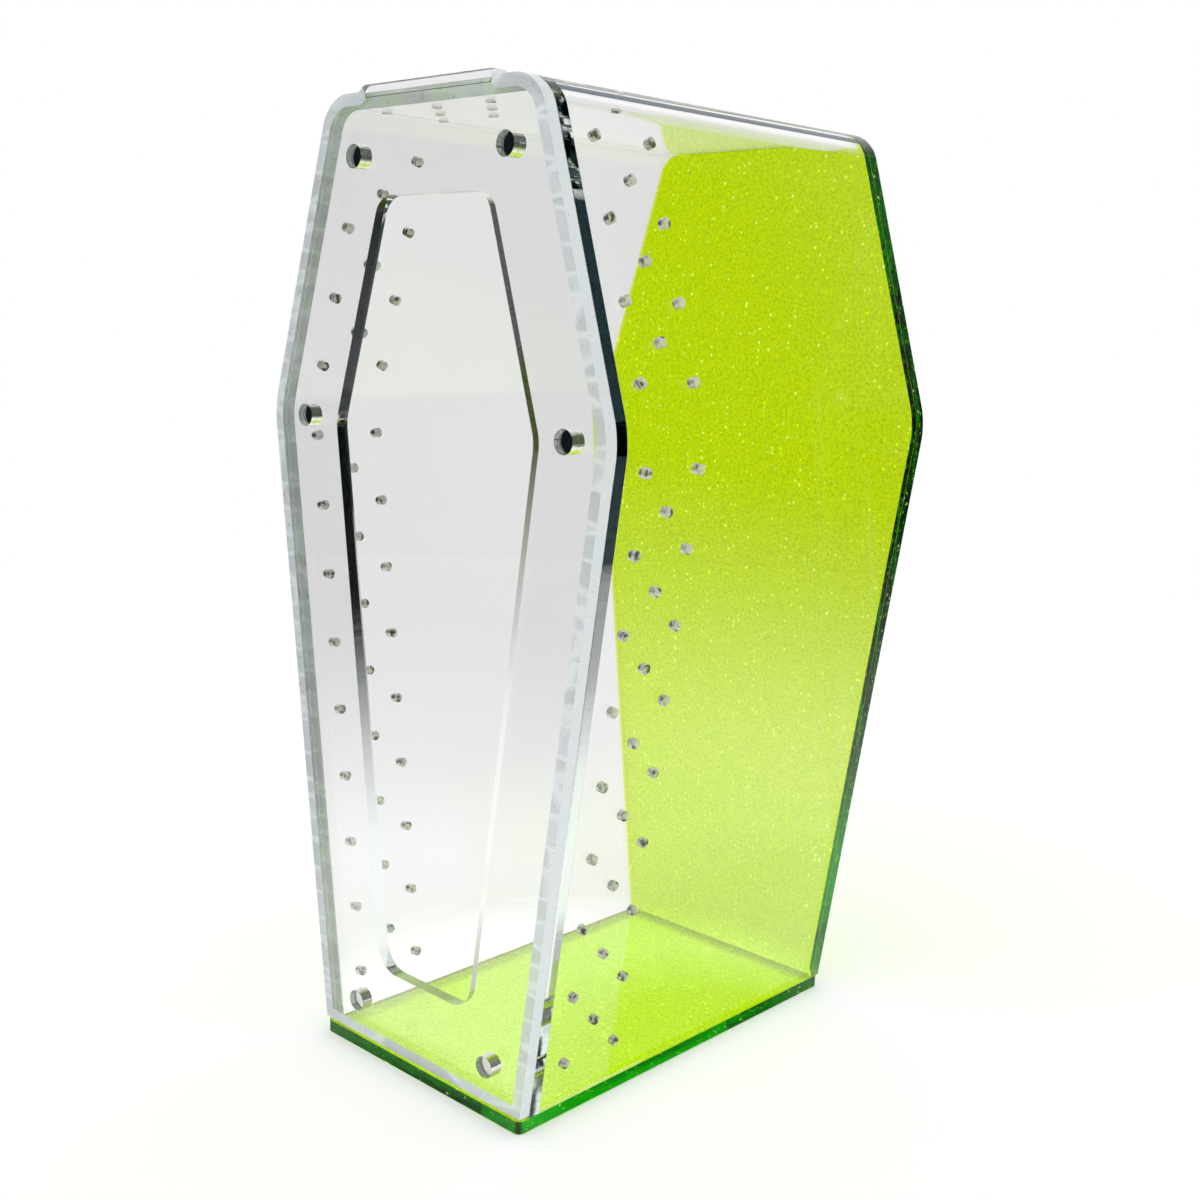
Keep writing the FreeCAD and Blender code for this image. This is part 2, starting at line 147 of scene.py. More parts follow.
def make_cast_glitter():
    """Fine grain cast into the sheet, and sparse flakes that glow with a painted glint."""
    group, given, result = new_group(
        "cast_glitter",
        [("Grain Scale", "Float"), ("Flake Scale", "Float")],
        [("Tint", "Color"), ("Painted Glint", "Float")],
    )
    place = object_place(group)
    grain = node(group, "ShaderNodeValToRGB", {"Fac": noise(group, place, given["Grain Scale"], 2.0)})
    dark, light = grain.color_ramp.elements
    dark.position, dark.color = 0.30, GRAIN_DARK
    light.position, light.color = 0.56, WHITE
    flake = node(group, "ShaderNodeTexVoronoi", {
        "Vector": place, "Scale": given["Flake Scale"], "Randomness": 1.0,
    })
    # Painted glint: a round spot in a random share of the cells glows, as if its flake caught the light.
    painted_spot = scaled(group, flake.outputs["Distance"], 0.30, 0.16)
    chance = node(group, "ShaderNodeSeparateColor", {"Color": flake.outputs["Color"]})
    facing = scaled(group, chance.outputs["Red"], 0.72, 1.0)
    group.links.new(grain.outputs["Color"], result["Tint"])
    group.links.new(sum_of(group, "MULTIPLY", painted_spot, facing), result["Painted Glint"])
    return group


sheet_finish = make_sheet_finish()
cast_glitter = make_cast_glitter()


def new_material(name):
    """A material with an empty node tree and its output node."""
    material = bpy.data.materials.new(name)
    material.use_nodes = True
    tree = material.node_tree
    tree.nodes.clear()
    output = tree.nodes.new("ShaderNodeOutputMaterial")
    return material, tree, output


def face_value(tree, name):
    """What a piece's faces say about one finish."""
    return node(tree, "ShaderNodeAttribute", attribute_name=name).outputs["Fac"]


def acrylic_nodes(tree, output, edge_roughness, edge_tint_or_painted_reflection):
    """The sheet's shader with polished faces and streaked, tinted edges, left out where it is cemented. On
    the frame's rim and on the line along the top bends, that tint is a painted dark reflection.
    """
    finish = node(tree, "ShaderNodeGroup", {
        "Cut": face_value(tree, "cut_edge"), "Edge Roughness": edge_roughness, "Edge Tint": edge_tint_or_painted_reflection,
    }, node_tree=sheet_finish)
    bump = node(tree, "ShaderNodeBump", {"Height": finish.outputs["Height"], "Distance": EDGE_STREAK_DEPTH})
    sheet = node(tree, "ShaderNodeBsdfPrincipled", {
        "Base Color": finish.outputs["Tint"],
        "Roughness": finish.outputs["Roughness"],
        "Normal": bump.outputs["Normal"],
        "IOR": ACRYLIC_IOR,
        "Alpha": sum_of(tree, "SUBTRACT", 1.0, face_value(tree, "cemented")),
        "Transmission Weight": 1.0,
    })
    tree.links.new(sheet.outputs["BSDF"], output.inputs["Surface"])
    return sheet


def green_glitter(name, dye_strength):
    """Transparent green sheet with flakes of glitter cast into it, which glow with a painted glint."""
    material, tree, output = new_material(name)
    sheet = acrylic_nodes(tree, output, GREEN_EDGE_ROUGHNESS, WHITE)
    glitter = node(tree, "ShaderNodeGroup", {
        "Grain Scale": GRAIN_SCALE, "Flake Scale": FLAKE_SCALE,
    }, node_tree=cast_glitter)
    tree.links.new(glitter.outputs["Tint"], sheet.inputs["Base Color"])
    # The flakes glow through the emission, as a painted glint.
    tree.links.new(blend(tree, glitter.outputs["Painted Glint"], BLACK, PAINTED_GLINT), sheet.inputs["Emission Color"])
    sheet.inputs["Emission Strength"].default_value = 1.0
    dye = node(tree, "ShaderNodeVolumeAbsorption", {"Color": GREEN_DYE, "Density": dye_strength})
    tree.links.new(dye.outputs["Volume"], output.inputs["Volume"])
    return material


def crease(bm):
    """Keep each edge crisp where a flat face meets a bend or a drilled wall."""
    for edge in bm.edges:
        bent = all(face.smooth for face in edge.link_faces)
        edge.smooth = bent and edge.calc_face_angle(0.0) < CREASE_ANGLE


def show(name, bm, materials, cad_node, body, **finishes):
    """Turn a finished bmesh into the piece that stands for a CAD node, and let it ride on its body."""
    crease(bm)
    for finish, level in finishes.items():
        layer = bm.faces.layers.float.new(finish)
        for face in bm.faces:
            face[layer] = 1.0 if level(face) else 0.0
    mesh = bpy.data.meshes.new(name)
    bm.to_mesh(mesh)
    bm.free()
    piece = bpy.data.objects.new(name, mesh)
    bpy.context.scene.collection.objects.link(piece)
    for material in materials:
        mesh.materials.append(material)
    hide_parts(cad_node)
    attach(piece, body)


def floor_edge(face):
    """True on the cut edge of the floor."""
    return abs(face.normal.z) < ACROSS


floor_green = green_glitter("green_glitter_floor", FLOOR_DYE_STRENGTH)
bm = bmesh.new()
bmesh.ops.create_cube(bm, size=1.0)
bmesh.ops.scale(bm, verts=bm.verts, vec=FLOOR_HIGH - FLOOR_LOW)
bmesh.ops.translate(bm, verts=bm.verts, vec=(FLOOR_LOW + FLOOR_HIGH) / 2)
upright = [edge for edge in bm.edges if abs(edge.verts[0].co.z - edge.verts[1].co.z) > FLOOR_TOP / 2]
rounded = bmesh.ops.bevel(
    bm, geom=upright, offset=FLOOR_CORNER, segments=FLOOR_CORNER_STEPS, profile=0.5, affect="EDGES",
    material=-1,
)
for face in rounded["faces"]:
    face.smooth = True
show("floor_sheet", bm, [floor_green], "floor_panel", "enclosure", cut_edge=floor_edge)

# Back panel
# A coffin-shaped plate of the same green glitter sheet, cut with rounded shoulders and top corners to the
# outline of the walls, and cemented to their rear end.
BACK_LOW, BACK_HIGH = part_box("back_panel")
BACK_DYE_STRENGTH = 1800.0
BACK_BAND_AREA = 0.001
TOP = BACK_HIGH.z
FLOOR_WIDTH = FLOOR_HIGH.x - FLOOR_LOW.x
TOP_WIDTH = 0.0643
SHOULDER_WIDTH = 0.1059
SHOULDER_HEIGHT = 0.1523
CORNER_RADIUS = 0.0085
SHOULDER_RADIUS = 0.019
COFFIN_RADII = {1: SHOULDER_RADIUS, 2: CORNER_RADIUS, 3: CORNER_RADIUS, 4: SHOULDER_RADIUS}
FEWEST_ARC_STEPS = 8
WALL = 0.003
NEAR = 1e-6
DOWN = -0.9


def coffin_corners(foot):
    """Right-hand corners of the coffin outline as (x, z), from its foot up."""
    lean = (SHOULDER_WIDTH - FLOOR_WIDTH) / 2 / (SHOULDER_HEIGHT - FLOOR_TOP)
    return [
        (FLOOR_WIDTH / 2 + lean * (foot - FLOOR_TOP), foot),
        (SHOULDER_WIDTH / 2, SHOULDER_HEIGHT),
        (TOP_WIDTH / 2, TOP),
    ]


def whole(right):
    """A closed outline from its right-hand corners."""
    return right + [(-x, z) for x, z in reversed(right)]


def round_corner(bm, outline, number, radius):
    """Round one corner of a sheet's outline through its thickness, with one step for each degree."""
    before = Vector(outline[number]) - Vector(outline[number - 1])
    after = Vector(outline[(number + 1) % len(outline)]) - Vector(outline[number])
    turn = before.angle(after)
    x, z = outline[number]
    edges = [
        edge for edge in bm.edges
        if all(abs(vert.co.x - x) < NEAR and abs(vert.co.z - z) < NEAR for vert in edge.verts)
    ]
    steps = max(FEWEST_ARC_STEPS, round(math.degrees(turn)))
    arc = bmesh.ops.bevel(
        bm, geom=edges, offset=radius * math.tan(turn / 2), segments=steps, profile=0.5, affect="EDGES",
        material=-1,
    )
    for face in arc["faces"]:
        face.smooth = True


def cut_sheet(outline, front, rear, radii):
    """A sheet between two depths, cut to an outline of (x, z) corners, some of them rounded."""
    bm = bmesh.new()
    face = bm.faces.new([bm.verts.new((x, front, z)) for x, z in outline])
    pushed = bmesh.ops.extrude_face_region(bm, geom=[face])["geom"]
    moved = [item for item in pushed if isinstance(item, bmesh.types.BMVert)]
    bmesh.ops.translate(bm, verts=moved, vec=(0.0, rear - front, 0.0))
    bmesh.ops.recalc_face_normals(bm, faces=bm.faces)
    for number, radius in radii.items():
        round_corner(bm, outline, number, radius)
    return bm


def faces_front(face):
    """True on a face that looks towards the door."""
    return face.normal.y < -ACROSS


def plate_edge(face):
    """True on the cut edge of an upright plate."""
    return abs(face.normal.y) < ACROSS


def welded_to_walls(face):
    """True on the foot of the back panel and on the band that the end of the walls is cemented to."""
    in_band = faces_front(face) and face.calc_area() < BACK_BAND_AREA
    return face.normal.z < DOWN or in_band and face.calc_center_median().z > BACK_LOW.z + WALL


back_green = green_glitter("green_glitter_back", BACK_DYE_STRENGTH)
bm = cut_sheet(whole(coffin_corners(BACK_LOW.z)), BACK_LOW.y, BACK_HIGH.y, COFFIN_RADII)
inner_face = [face for face in bm.faces if faces_front(face)]
bmesh.ops.inset_region(bm, faces=inner_face, thickness=WALL, use_even_offset=True)
show("back_sheet", bm, [back_green], "back_panel", "enclosure", cut_edge=plate_edge, cemented=welded_to_walls)

# Walls and top
# One strip of clear acrylic, bent over a hot wire at four lines and cemented to the floor. Three staggered
# columns of vent holes are drilled in each of its five faces, close to the front.
WALL_LOW, WALL_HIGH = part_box("wall_shell")
FOOT_HIGHEST = FLOOR_TOP * 1.2
CLEAR_EDGE_ROUGHNESS = 0.10
EDGE_TINT = (0.86, 0.97, 0.955, 1.0)
# Painted reflection: the near-black tint of a line along the outside of the top bends, standing for a dark
# room seen in them.
PAINTED_BEND_REFLECTION = (0.012, 0.020, 0.035, 1.0)
PAINTED_LINE_SLOPES = (0.68, 0.80)
# Painted shade and light: the frost of a sawn end goes from its darker tone in the painted shadows of the
# vent holes to the lighter gap colour between them.
FROST_PAINTED_SHADE = (0.51, 0.54, 0.57, 1.0)
FROST_MIDDLE = (0.65, 0.69, 0.72, 1.0)
FROST_PAINTED_LIT_GAP = (0.75, 0.80, 0.83, 1.0)
FROST_LIGHT = (0.88, 0.94, 0.95, 1.0)
FROST_ROUGHNESS, FROST_CLEARNESS = 0.5, 0.25
SHADOW_CELL_SCALE = 170.0
SHADOW_CELL_STRETCH = (0.25, 0.25, 1.0)
DRILLED_WHITE = (0.94, 0.89, 1.0, 1.0)
# Painted shade: the dark spots laid at random on the walls of the vent holes.
DRILLED_PAINTED_SHADE = (0.10, 0.10, 0.12, 1.0)
DRILLED_ROUGHNESS, DRILLED_CLEARNESS = 0.2, 0.3
DRILLED_AREA = 2e-6
VENT_RADIUS = 0.00115
VENT_STEPS = 28
VENT_FRONT_INSET = 0.0070
VENT_COLUMN_SPACING = 0.00815
VENT_PITCH_LOWER = 0.0167
VENT_PITCH_UPPER = 0.0163
VENT_SHOULDER_INSET = 0.007
LOWER_VENTS = 9
UPPER_VENTS = 4


def make_matt_cut():
    """Darker cells with lighter gaps between them, a painted shade standing for the shadows that vent holes
    cast along a sawn end, and fine streaks that make the face matt, as sawing and drilling leave them.
    """
    group, given, result = new_group(
        "matt_cut", [("Roughest", "Float")], [("Painted Shade And Streaks", "Float"), ("Painted Lit Gap", "Float"), ("Roughness", "Float")]
    )
    place = object_place(group)
    across = node(group, "ShaderNodeMapping", {"Vector": place, "Scale": SHADOW_CELL_STRETCH})
    cells = {"Vector": across.outputs["Vector"], "Scale": SHADOW_CELL_SCALE}
    shadow_cell = node(group, "ShaderNodeTexVoronoi", cells)
    border = node(group, "ShaderNodeTexVoronoi", cells, feature="DISTANCE_TO_EDGE")
    shade = node(group, "ShaderNodeSeparateColor", {"Color": shadow_cell.outputs["Color"]})
    streak = noise(group, place, 700.0, 3.0)
    shade_and_streaks = scaled(group, sum_of(group, "ADD", shade.outputs["Red"], streak), 0.3, 1.4)
    finest = sum_of(group, "MULTIPLY", given["Roughest"], 0.5)
    group.links.new(shade_and_streaks, result["Painted Shade And Streaks"])
    group.links.new(scaled(group, border.outputs["Distance"], 0.10, 0.02), result["Painted Lit Gap"])
    group.links.new(scaled(group, streak, 0.3, 0.7, finest, given["Roughest"]), result["Roughness"])
    return group


def matt_nodes(tree, output, finish, colour, clearness):
    """The shader of a sawn or drilled face, which lets only part of the light through."""
    end = node(tree, "ShaderNodeBsdfPrincipled", {
        "Base Color": colour,
        "Roughness": finish.outputs["Roughness"],
        "IOR": ACRYLIC_IOR,
        "Transmission Weight": clearness,
    })
    tree.links.new(end.outputs["BSDF"], output.inputs["Surface"])


matt_cut = make_matt_cut()
clear_sheet, tree, output = new_material("clear_acrylic")
acrylic_nodes(tree, output, CLEAR_EDGE_ROUGHNESS, EDGE_TINT)

# Painted dark reflection: the line along the top bends is tinted near black where seen from outside, and left
# white from inside.
bend_sheet, tree, output = new_material("clear_acrylic_bend")
facing = node(tree, "ShaderNodeNewGeometry")
painted_bend_reflection = blend(tree, facing.outputs["Backfacing"], PAINTED_BEND_REFLECTION, WHITE)
acrylic_nodes(tree, output, CLEAR_EDGE_ROUGHNESS, painted_bend_reflection)

frosted_end, tree, output = new_material("frosted_acrylic")
finish = node(tree, "ShaderNodeGroup", {"Roughest": FROST_ROUGHNESS}, node_tree=matt_cut)
# Painted shade: darker cells for the shadows of the vent holes, with lighter gaps between them, are laid over
# the frost.
frost_in_painted_shade = blend(tree, finish.outputs["Painted Shade And Streaks"], FROST_PAINTED_SHADE, FROST_MIDDLE)
frost_with_painted_gaps = blend(tree, finish.outputs["Painted Lit Gap"], frost_in_painted_shade, FROST_PAINTED_LIT_GAP)
frost = blend(tree, face_value(tree, "cut_edge"), frost_with_painted_gaps, FROST_LIGHT)
matt_nodes(tree, output, finish, frost, FROST_CLEARNESS)

drilled_wall, tree, output = new_material("drilled_acrylic")
finish = node(tree, "ShaderNodeGroup", {"Roughest": DRILLED_ROUGHNESS}, node_tree=matt_cut)
# Painted shade: noise lays dark spots on the white walls of the vent holes, as shade seen inside them.
painted_spot = scaled(tree, noise(tree, object_place(tree), 520.0, 1.0), 0.38, 0.48)
matt_nodes(tree, output, finish, blend(tree, painted_spot, DRILLED_PAINTED_SHADE, DRILLED_WHITE), DRILLED_CLEARNESS)


def inset(outline, depths):
    """Corners of an outline whose edges are moved inwards, each by its own depth."""
    lines = []
    for number, depth in enumerate(depths):
        start = Vector(outline[number])
        along = (Vector(outline[(number + 1) % len(outline)]) - start).normalized()
        lines.append((start + Vector((-along.y, along.x)) * depth, along))
    corners = []
    for number, (start, along) in enumerate(lines):
        other, other_along = lines[number - 1]
        step = (start - other).cross(along) / other_along.cross(along)
        corners.append(tuple(other + other_along * step))
    return corners


def cut_away(sheet_bm, cutter_bm):
    """Cut one bmesh out of another, and return what is left of the sheet."""
    pieces = []
    for name, shape in (("uncut_sheet", sheet_bm), ("cutter", cutter_bm)):
        mesh = bpy.data.meshes.new(name)
        shape.to_mesh(mesh)
        shape.free()
        piece = bpy.data.objects.new(name, mesh)
        bpy.context.scene.collection.objects.link(piece)
        pieces.append(piece)
    cut = pieces[0].modifiers.new("cut", "BOOLEAN")
    cut.operation = "DIFFERENCE"
    cut.solver = "EXACT"
    cut.object = pieces[1]
    seen = pieces[0].evaluated_get(bpy.context.evaluated_depsgraph_get())
    result = bpy.data.meshes.new_from_object(seen)
    left = bmesh.new()
    left.from_mesh(result)
    for mesh in (pieces[0].data, pieces[1].data, result):
        bpy.data.meshes.remove(mesh)
    return left


def add_drill(bm, centre, direction, radius, length, steps):
    """Add a round cutter, centred on a point and pointing one way, to a bmesh."""
    turn = Vector((0.0, 0.0, 1.0)).rotation_difference(Vector(direction)).to_matrix().to_4x4()
    made = bmesh.ops.create_cone(
        bm, cap_ends=True, segments=steps, radius1=radius, radius2=radius, depth=length,
        matrix=Matrix.Translation(centre) @ turn,
    )
    for face in {face for vert in made["verts"] for face in vert.link_faces}:
        face.smooth = len(face.verts) == 4


def add_vents(bm, start, end, first, count, pitch):
    """Drill one face of the strip, whose edges are at start and end as (x, z)."""
    start, end = Vector(start), Vector(end)
    along = (end - start).normalized()
    direction = (-along.y, 0.0, along.x)
    for column, holes, shift in ((0, count, 0.0), (1, count - 1, pitch / 2), (2, count, 0.0)):
        y = WALL_LOW.y + VENT_FRONT_INSET + column * VENT_COLUMN_SPACING
        for hole in range(holes):
            x, z = start + along * (first + shift + hole * pitch)
            add_drill(bm, (x, y, z), direction, VENT_RADIUS, WALL * 4, VENT_STEPS)


def drilled(face):
    """True on the wall of a vent hole."""
    return face.smooth and face.calc_area() < DRILLED_AREA


def on_painted_bend_line(face):
    """True on the band along the outside of the top bends where a dark line is painted, a painted reflection
    of a dark room.
    """
    return PAINTED_LINE_SLOPES[0] < face.normal.z < PAINTED_LINE_SLOPES[1] and face.smooth and not drilled(face)


def welded_end(face):
    """True on the rear end of the strip and on its feet, which are cemented to the green sheets."""
    foot = face.normal.z < DOWN and face.calc_center_median().z < FOOT_HIGHEST
    return face.normal.y > ACROSS or foot


outer = whole(coffin_corners(WALL_LOW.z))
inner = inset(outer, [WALL] * 5 + [0.0])
strip_outline = outer + list(reversed(inner))
strip_radii = dict(COFFIN_RADII)
for number, radius in COFFIN_RADII.items():
    strip_radii[len(strip_outline) - 1 - number] = radius - WALL
strip = cut_sheet(strip_outline, WALL_LOW.y, WALL_HIGH.y, strip_radii)

drills = bmesh.new()
upper_run = (UPPER_VENTS - 1) * VENT_PITCH_UPPER
for side in (-1, 1):
    foot, shoulder, top = [(side * x, z) for x, z in coffin_corners(FLOOR_TOP)]
    upper_first = (math.dist(shoulder, top) - upper_run) / 2
    add_vents(drills, shoulder, foot, VENT_SHOULDER_INSET, LOWER_VENTS, VENT_PITCH_LOWER)
    add_vents(drills, shoulder, top, upper_first, UPPER_VENTS, VENT_PITCH_UPPER)
top_first = (TOP_WIDTH - upper_run) / 2
add_vents(drills, (-TOP_WIDTH / 2, TOP), (TOP_WIDTH / 2, TOP), top_first, UPPER_VENTS, VENT_PITCH_UPPER)
walls = cut_away(strip, drills)
# The line along the top bends gets its own material, with a painted dark reflection.
for face in walls.faces:
    if drilled(face):
        face.material_index = 2
    elif faces_front(face):
        face.material_index = 1
    elif on_painted_bend_line(face):
        face.material_index = 3
show(
    "bent_walls", walls, [clear_sheet, frosted_end, drilled_wall, bend_sheet], "wall_shell", "enclosure",
    cut_edge=on_painted_bend_line, cemented=welded_end,
)

# Front frame
# A clear ring cemented to the front end of the walls. Its coffin-shaped opening is the way in, and six
# holes through it hold magnets.
FRAME_LOW, FRAME_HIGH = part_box("front_frame")
RIM_SIDE = 0.0209
RIM_TOP = 0.0210
RIM_BOTTOM = 0.0191
# Painted reflection: the near-black tint of the frame's outer edge, the heights over which it fades in, and
# the heights where it breaks up.
PAINTED_RIM_REFLECTION = (0.0004, 0.0016, 0.0022, 1.0)
PAINTED_RIM_FADES_IN = (0.100, 0.128)
PAINTED_RIM_BREAKS_UP = (0.1965, 0.2005)
OPENING_RADII = {0: 0.0065, 1: 0.009, 2: 0.005, 3: 0.005, 4: 0.009, 5: 0.0065}
MAGNET_NODES = [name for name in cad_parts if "_magnet_" in name]
MAGNET_BOXES = {name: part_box(name) for name in MAGNET_NODES}
MAGNET_PLACES = [((low + high) / 2).xz for low, high in MAGNET_BOXES.values()]
MAGNET_HOLE_RADIUS = 0.00255
AROUND_HOLE = MAGNET_HOLE_RADIUS * 1.1
MAGNET_STEPS = 64
FRONT_TO_BACK = (0.0, 1.0, 0.0)


def add_magnet_holes(bm, host):
    """Add the drills for the magnets of one sheet to a bmesh."""
    for name, (low, high) in MAGNET_BOXES.items():
        if name.startswith(host):
            add_drill(bm, (low + high) / 2, FRONT_TO_BACK, MAGNET_HOLE_RADIUS, WALL * 3, MAGNET_STEPS)


def at_magnet(face):
    """True on the wall of a magnet hole."""
    centre = face.calc_center_median()
    return any(math.hypot(x - centre.x, z - centre.z) < AROUND_HOLE for x, z in MAGNET_PLACES)


def outer_edge(face):
    """True on the outer edge of a plate, but not on its faces, its opening and its magnet holes."""
    outwards = face.calc_center_median() - Vector((0.0, 0.0, TOP / 2))
    return plate_edge(face) and face.normal.dot(outwards) > 0.0 and not at_magnet(face)


# Painted dark reflection: the frame's outer edge is tinted near black from 100 mm up, fading in until 128 mm
# and broken up by noise near its top.
frame_sheet, tree, output = new_material("clear_acrylic_frame")
place = object_place(tree)
height = node(tree, "ShaderNodeSeparateXYZ", {"Vector": place}).outputs["Z"]
rim_reflection_breakup = scaled(tree, noise(tree, place, 210.0, 3.0), 0.46, 0.54)
rim_reflection_kept = fade(tree, scaled(tree, height, *PAINTED_RIM_BREAKS_UP), 1.0, rim_reflection_breakup)
dark = sum_of(tree, "MULTIPLY", scaled(tree, height, *PAINTED_RIM_FADES_IN), rim_reflection_kept)
acrylic_nodes(tree, output, CLEAR_EDGE_ROUGHNESS, blend(tree, dark, EDGE_TINT, PAINTED_RIM_REFLECTION))

frame_outline = whole(coffin_corners(FRAME_LOW.z))
ring = cut_sheet(frame_outline, FRAME_LOW.y, FRAME_HIGH.y, COFFIN_RADII)
opening = inset(frame_outline, [RIM_SIDE, RIM_SIDE, RIM_TOP, RIM_SIDE, RIM_SIDE, RIM_BOTTOM])
cutter = cut_sheet(opening, FRAME_LOW.y - WALL, FRAME_HIGH.y + WALL, OPENING_RADII)
add_magnet_holes(cutter, "frame")
show("front_ring", cut_away(ring, cutter), [frame_sheet], "front_frame", "enclosure", cut_edge=outer_edge)

# Door
# A clear coffin-shaped plate that lifts off towards the front, with a shallow pull tab on its top edge
# and six holes for the magnets that hold it. Its outer edge and a narrow border beside it look matt.
DOOR_LOW, DOOR_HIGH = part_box("door")
DOOR_BORDER = 0.0026
BORDER_HIGHEST = TOP - DOOR_BORDER / 4
TAB_INSET = 0.0105
TAB_RUN = 0.0017
TAB_RADIUS = 0.002
DOOR_RADII = {
    1: SHOULDER_RADIUS, 2: CORNER_RADIUS, 4: TAB_RADIUS, 5: TAB_RADIUS, 7: CORNER_RADIUS, 8: SHOULDER_RADIUS,
}

tab_foot = TOP_WIDTH / 2 - TAB_INSET
door_right = coffin_corners(DOOR_LOW.z) + [(tab_foot, TOP), (tab_foot - TAB_RUN, DOOR_HIGH.z)]
plate = cut_sheet(whole(door_right), DOOR_LOW.y, DOOR_HIGH.y, DOOR_RADII)
door_front = [face for face in plate.faces if faces_front(face)]
bmesh.ops.inset_region(plate, faces=door_front, thickness=DOOR_BORDER, use_even_offset=True)
cutter = bmesh.new()
add_magnet_holes(cutter, "door")
plate = cut_away(plate, cutter)
edge_faces = [face for face in plate.faces if outer_edge(face)]
beside_edge = {beside for face in edge_faces for edge in face.edges for beside in edge.link_faces}
for face in plate.faces:
    in_border = face in beside_edge and faces_front(face) and face.calc_center_median().z < BORDER_HIGHEST
    face.material_index = 1 if in_border or outer_edge(face) else 0
show("door_plate", plate, [clear_sheet, frosted_end], "door", "door", cut_edge=outer_edge)

# Magnets
# Twelve nickel-plated discs, pressed into the holes of the door and of the frame so that each pair meets
# face to face. Their rims are rounded by tumbling, which leaves fine scuffs on the plating.
MAGNET_RIM = 0.0003
MAGNET_RIM_STEPS = 6
NICKEL_LIGHT = (0.78, 0.77, 0.74, 1.0)
NICKEL_DARK = (0.66, 0.65, 0.61, 1.0)
SCUFF_DEPTH = 0.000004

nickel, tree, output = new_material("nickel_plating")
place = object_place(tree)
scuff = noise(tree, place, 2600.0, 4.0, distortion=1.5)
bump = node(tree, "ShaderNodeBump", {"Height": scuff, "Distance": SCUFF_DEPTH})
plating = node(tree, "ShaderNodeBsdfPrincipled", {
    "Base Color": blend(tree, noise(tree, place, 420.0, 2.0), NICKEL_LIGHT, NICKEL_DARK),
    "Metallic": 1.0,
    "Roughness": scaled(tree, scuff, 0.3, 0.75, 0.06, 0.16),
    "Normal": bump.outputs["Normal"],
})
tree.links.new(plating.outputs["BSDF"], output.inputs["Surface"])

for name, (low, high) in MAGNET_BOXES.items():
    bm = bmesh.new()
    radius = (high.x - low.x) / 2
    depth = high.y - low.y
    add_drill(bm, (low + high) / 2, FRONT_TO_BACK, radius, depth, MAGNET_STEPS)
    rims = [edge for edge in bm.edges if abs(edge.verts[0].co.y - edge.verts[1].co.y) < NEAR]
    rounded = bmesh.ops.bevel(
        bm, geom=rims, offset=MAGNET_RIM, segments=MAGNET_RIM_STEPS, profile=0.5, affect="EDGES", material=-1
    )
    for face in rounded["faces"]:
        face.smooth = True
    host = "door" if name.startswith("door") else "enclosure"
    show(name.replace("magnet", "disc"), bm, [nickel], name, host)

# Studio
# A white table in a dark room, with the background shown white. Reflections see the dark room, its soft
# boxes and the middle of the table, as the magnets and the cut edges do in a shop photograph; there the table
# is painted light, with a painted shadow close to the terrarium, and further out a painted reflection of the
# room.
TABLE_RADIUS = 0.75
TABLE_STEPS = 96
TABLE_DROP = 0.0002
# Painted light and shadow on the table, seen only in reflections: its level at each distance from the middle.
TABLE_PAINTED_LIGHT = ((0.052, 0.10), (0.072, 1.0), (0.20, 1.0), (0.35, 0.5), (0.60, 0.05), (0.72, 0.0))
TABLE_FADES = (0.35, 0.70)
PAPER_WHITE = (0.93, 0.93, 0.93, 1.0)
# Painted shade: the level that the table and the background are painted down to where they are seen through
# glass.
PAINTED_SHADE_BEHIND_GLASS = 0.92
UNDER_FLOOR = (0.080, 0.055)
# Painted light: the colour of a pool of light painted on the table under the floor.
PAINTED_POOL_LIGHT = (4.0, 4.0, 4.0, 1.0)
ROOM_ACROSS = (-0.676, 0.737, 0.0)
ROOM_STOPS = (
    (0.12, (0.30, 0.34, 0.40, 1.0)),
    (0.32, (0.005, 0.007, 0.012, 1.0)),
    (0.62, (0.005, 0.007, 0.012, 1.0)),
    (0.86, WHITE),
)
OVERHEAD = (0.78, 0.93)
OVERHEAD_LIGHT = (0.95, 0.98, 1.0, 1.0)

bm = bmesh.new()
bmesh.ops.create_circle(bm, cap_ends=True, segments=TABLE_STEPS, radius=TABLE_RADIUS)
bmesh.ops.translate(bm, verts=bm.verts, vec=(0.0, 0.0, -TABLE_DROP))
table_mesh = bpy.data.meshes.new("white_table")
bm.to_mesh(table_mesh)
bm.free()
table = bpy.data.objects.new("white_table", table_mesh)
bpy.context.scene.collection.objects.link(table)


def ways_seen(tree):
    """Whether a ray comes off a shiny surface, how much painted shade darkens what is seen through glass, and
    whether it came through glass.
    """
    path = node(tree, "ShaderNodeLightPath").outputs
    unlit = sum_of(tree, "LESS_THAN", path["Diffuse Depth"], 0.5)
    bounced = sum_of(tree, "GREATER_THAN", path["Glossy Depth"], 0.5)
    entered = sum_of(tree, "GREATER_THAN", path["Transmission Depth"], 0.5)
    shiny = sum_of(tree, "MULTIPLY", bounced, unlit)
    behind = sum_of(tree, "MULTIPLY", entered, unlit)
    return shiny, scaled(tree, behind, 0.0, 1.0, 1.0, PAINTED_SHADE_BEHIND_GLASS), behind


def ramp(tree, position, stops):
    """A colour ramp through the given stops and no others."""
    made = node(tree, "ShaderNodeValToRGB", {"Fac": position})
    elements = made.color_ramp.elements
    for number, (place, colour) in enumerate(stops):
        stop = elements[0] if number == 0 else elements.new(place)
        stop.position = place
        stop.color = colour
    elements.remove(elements[-1])
    return made


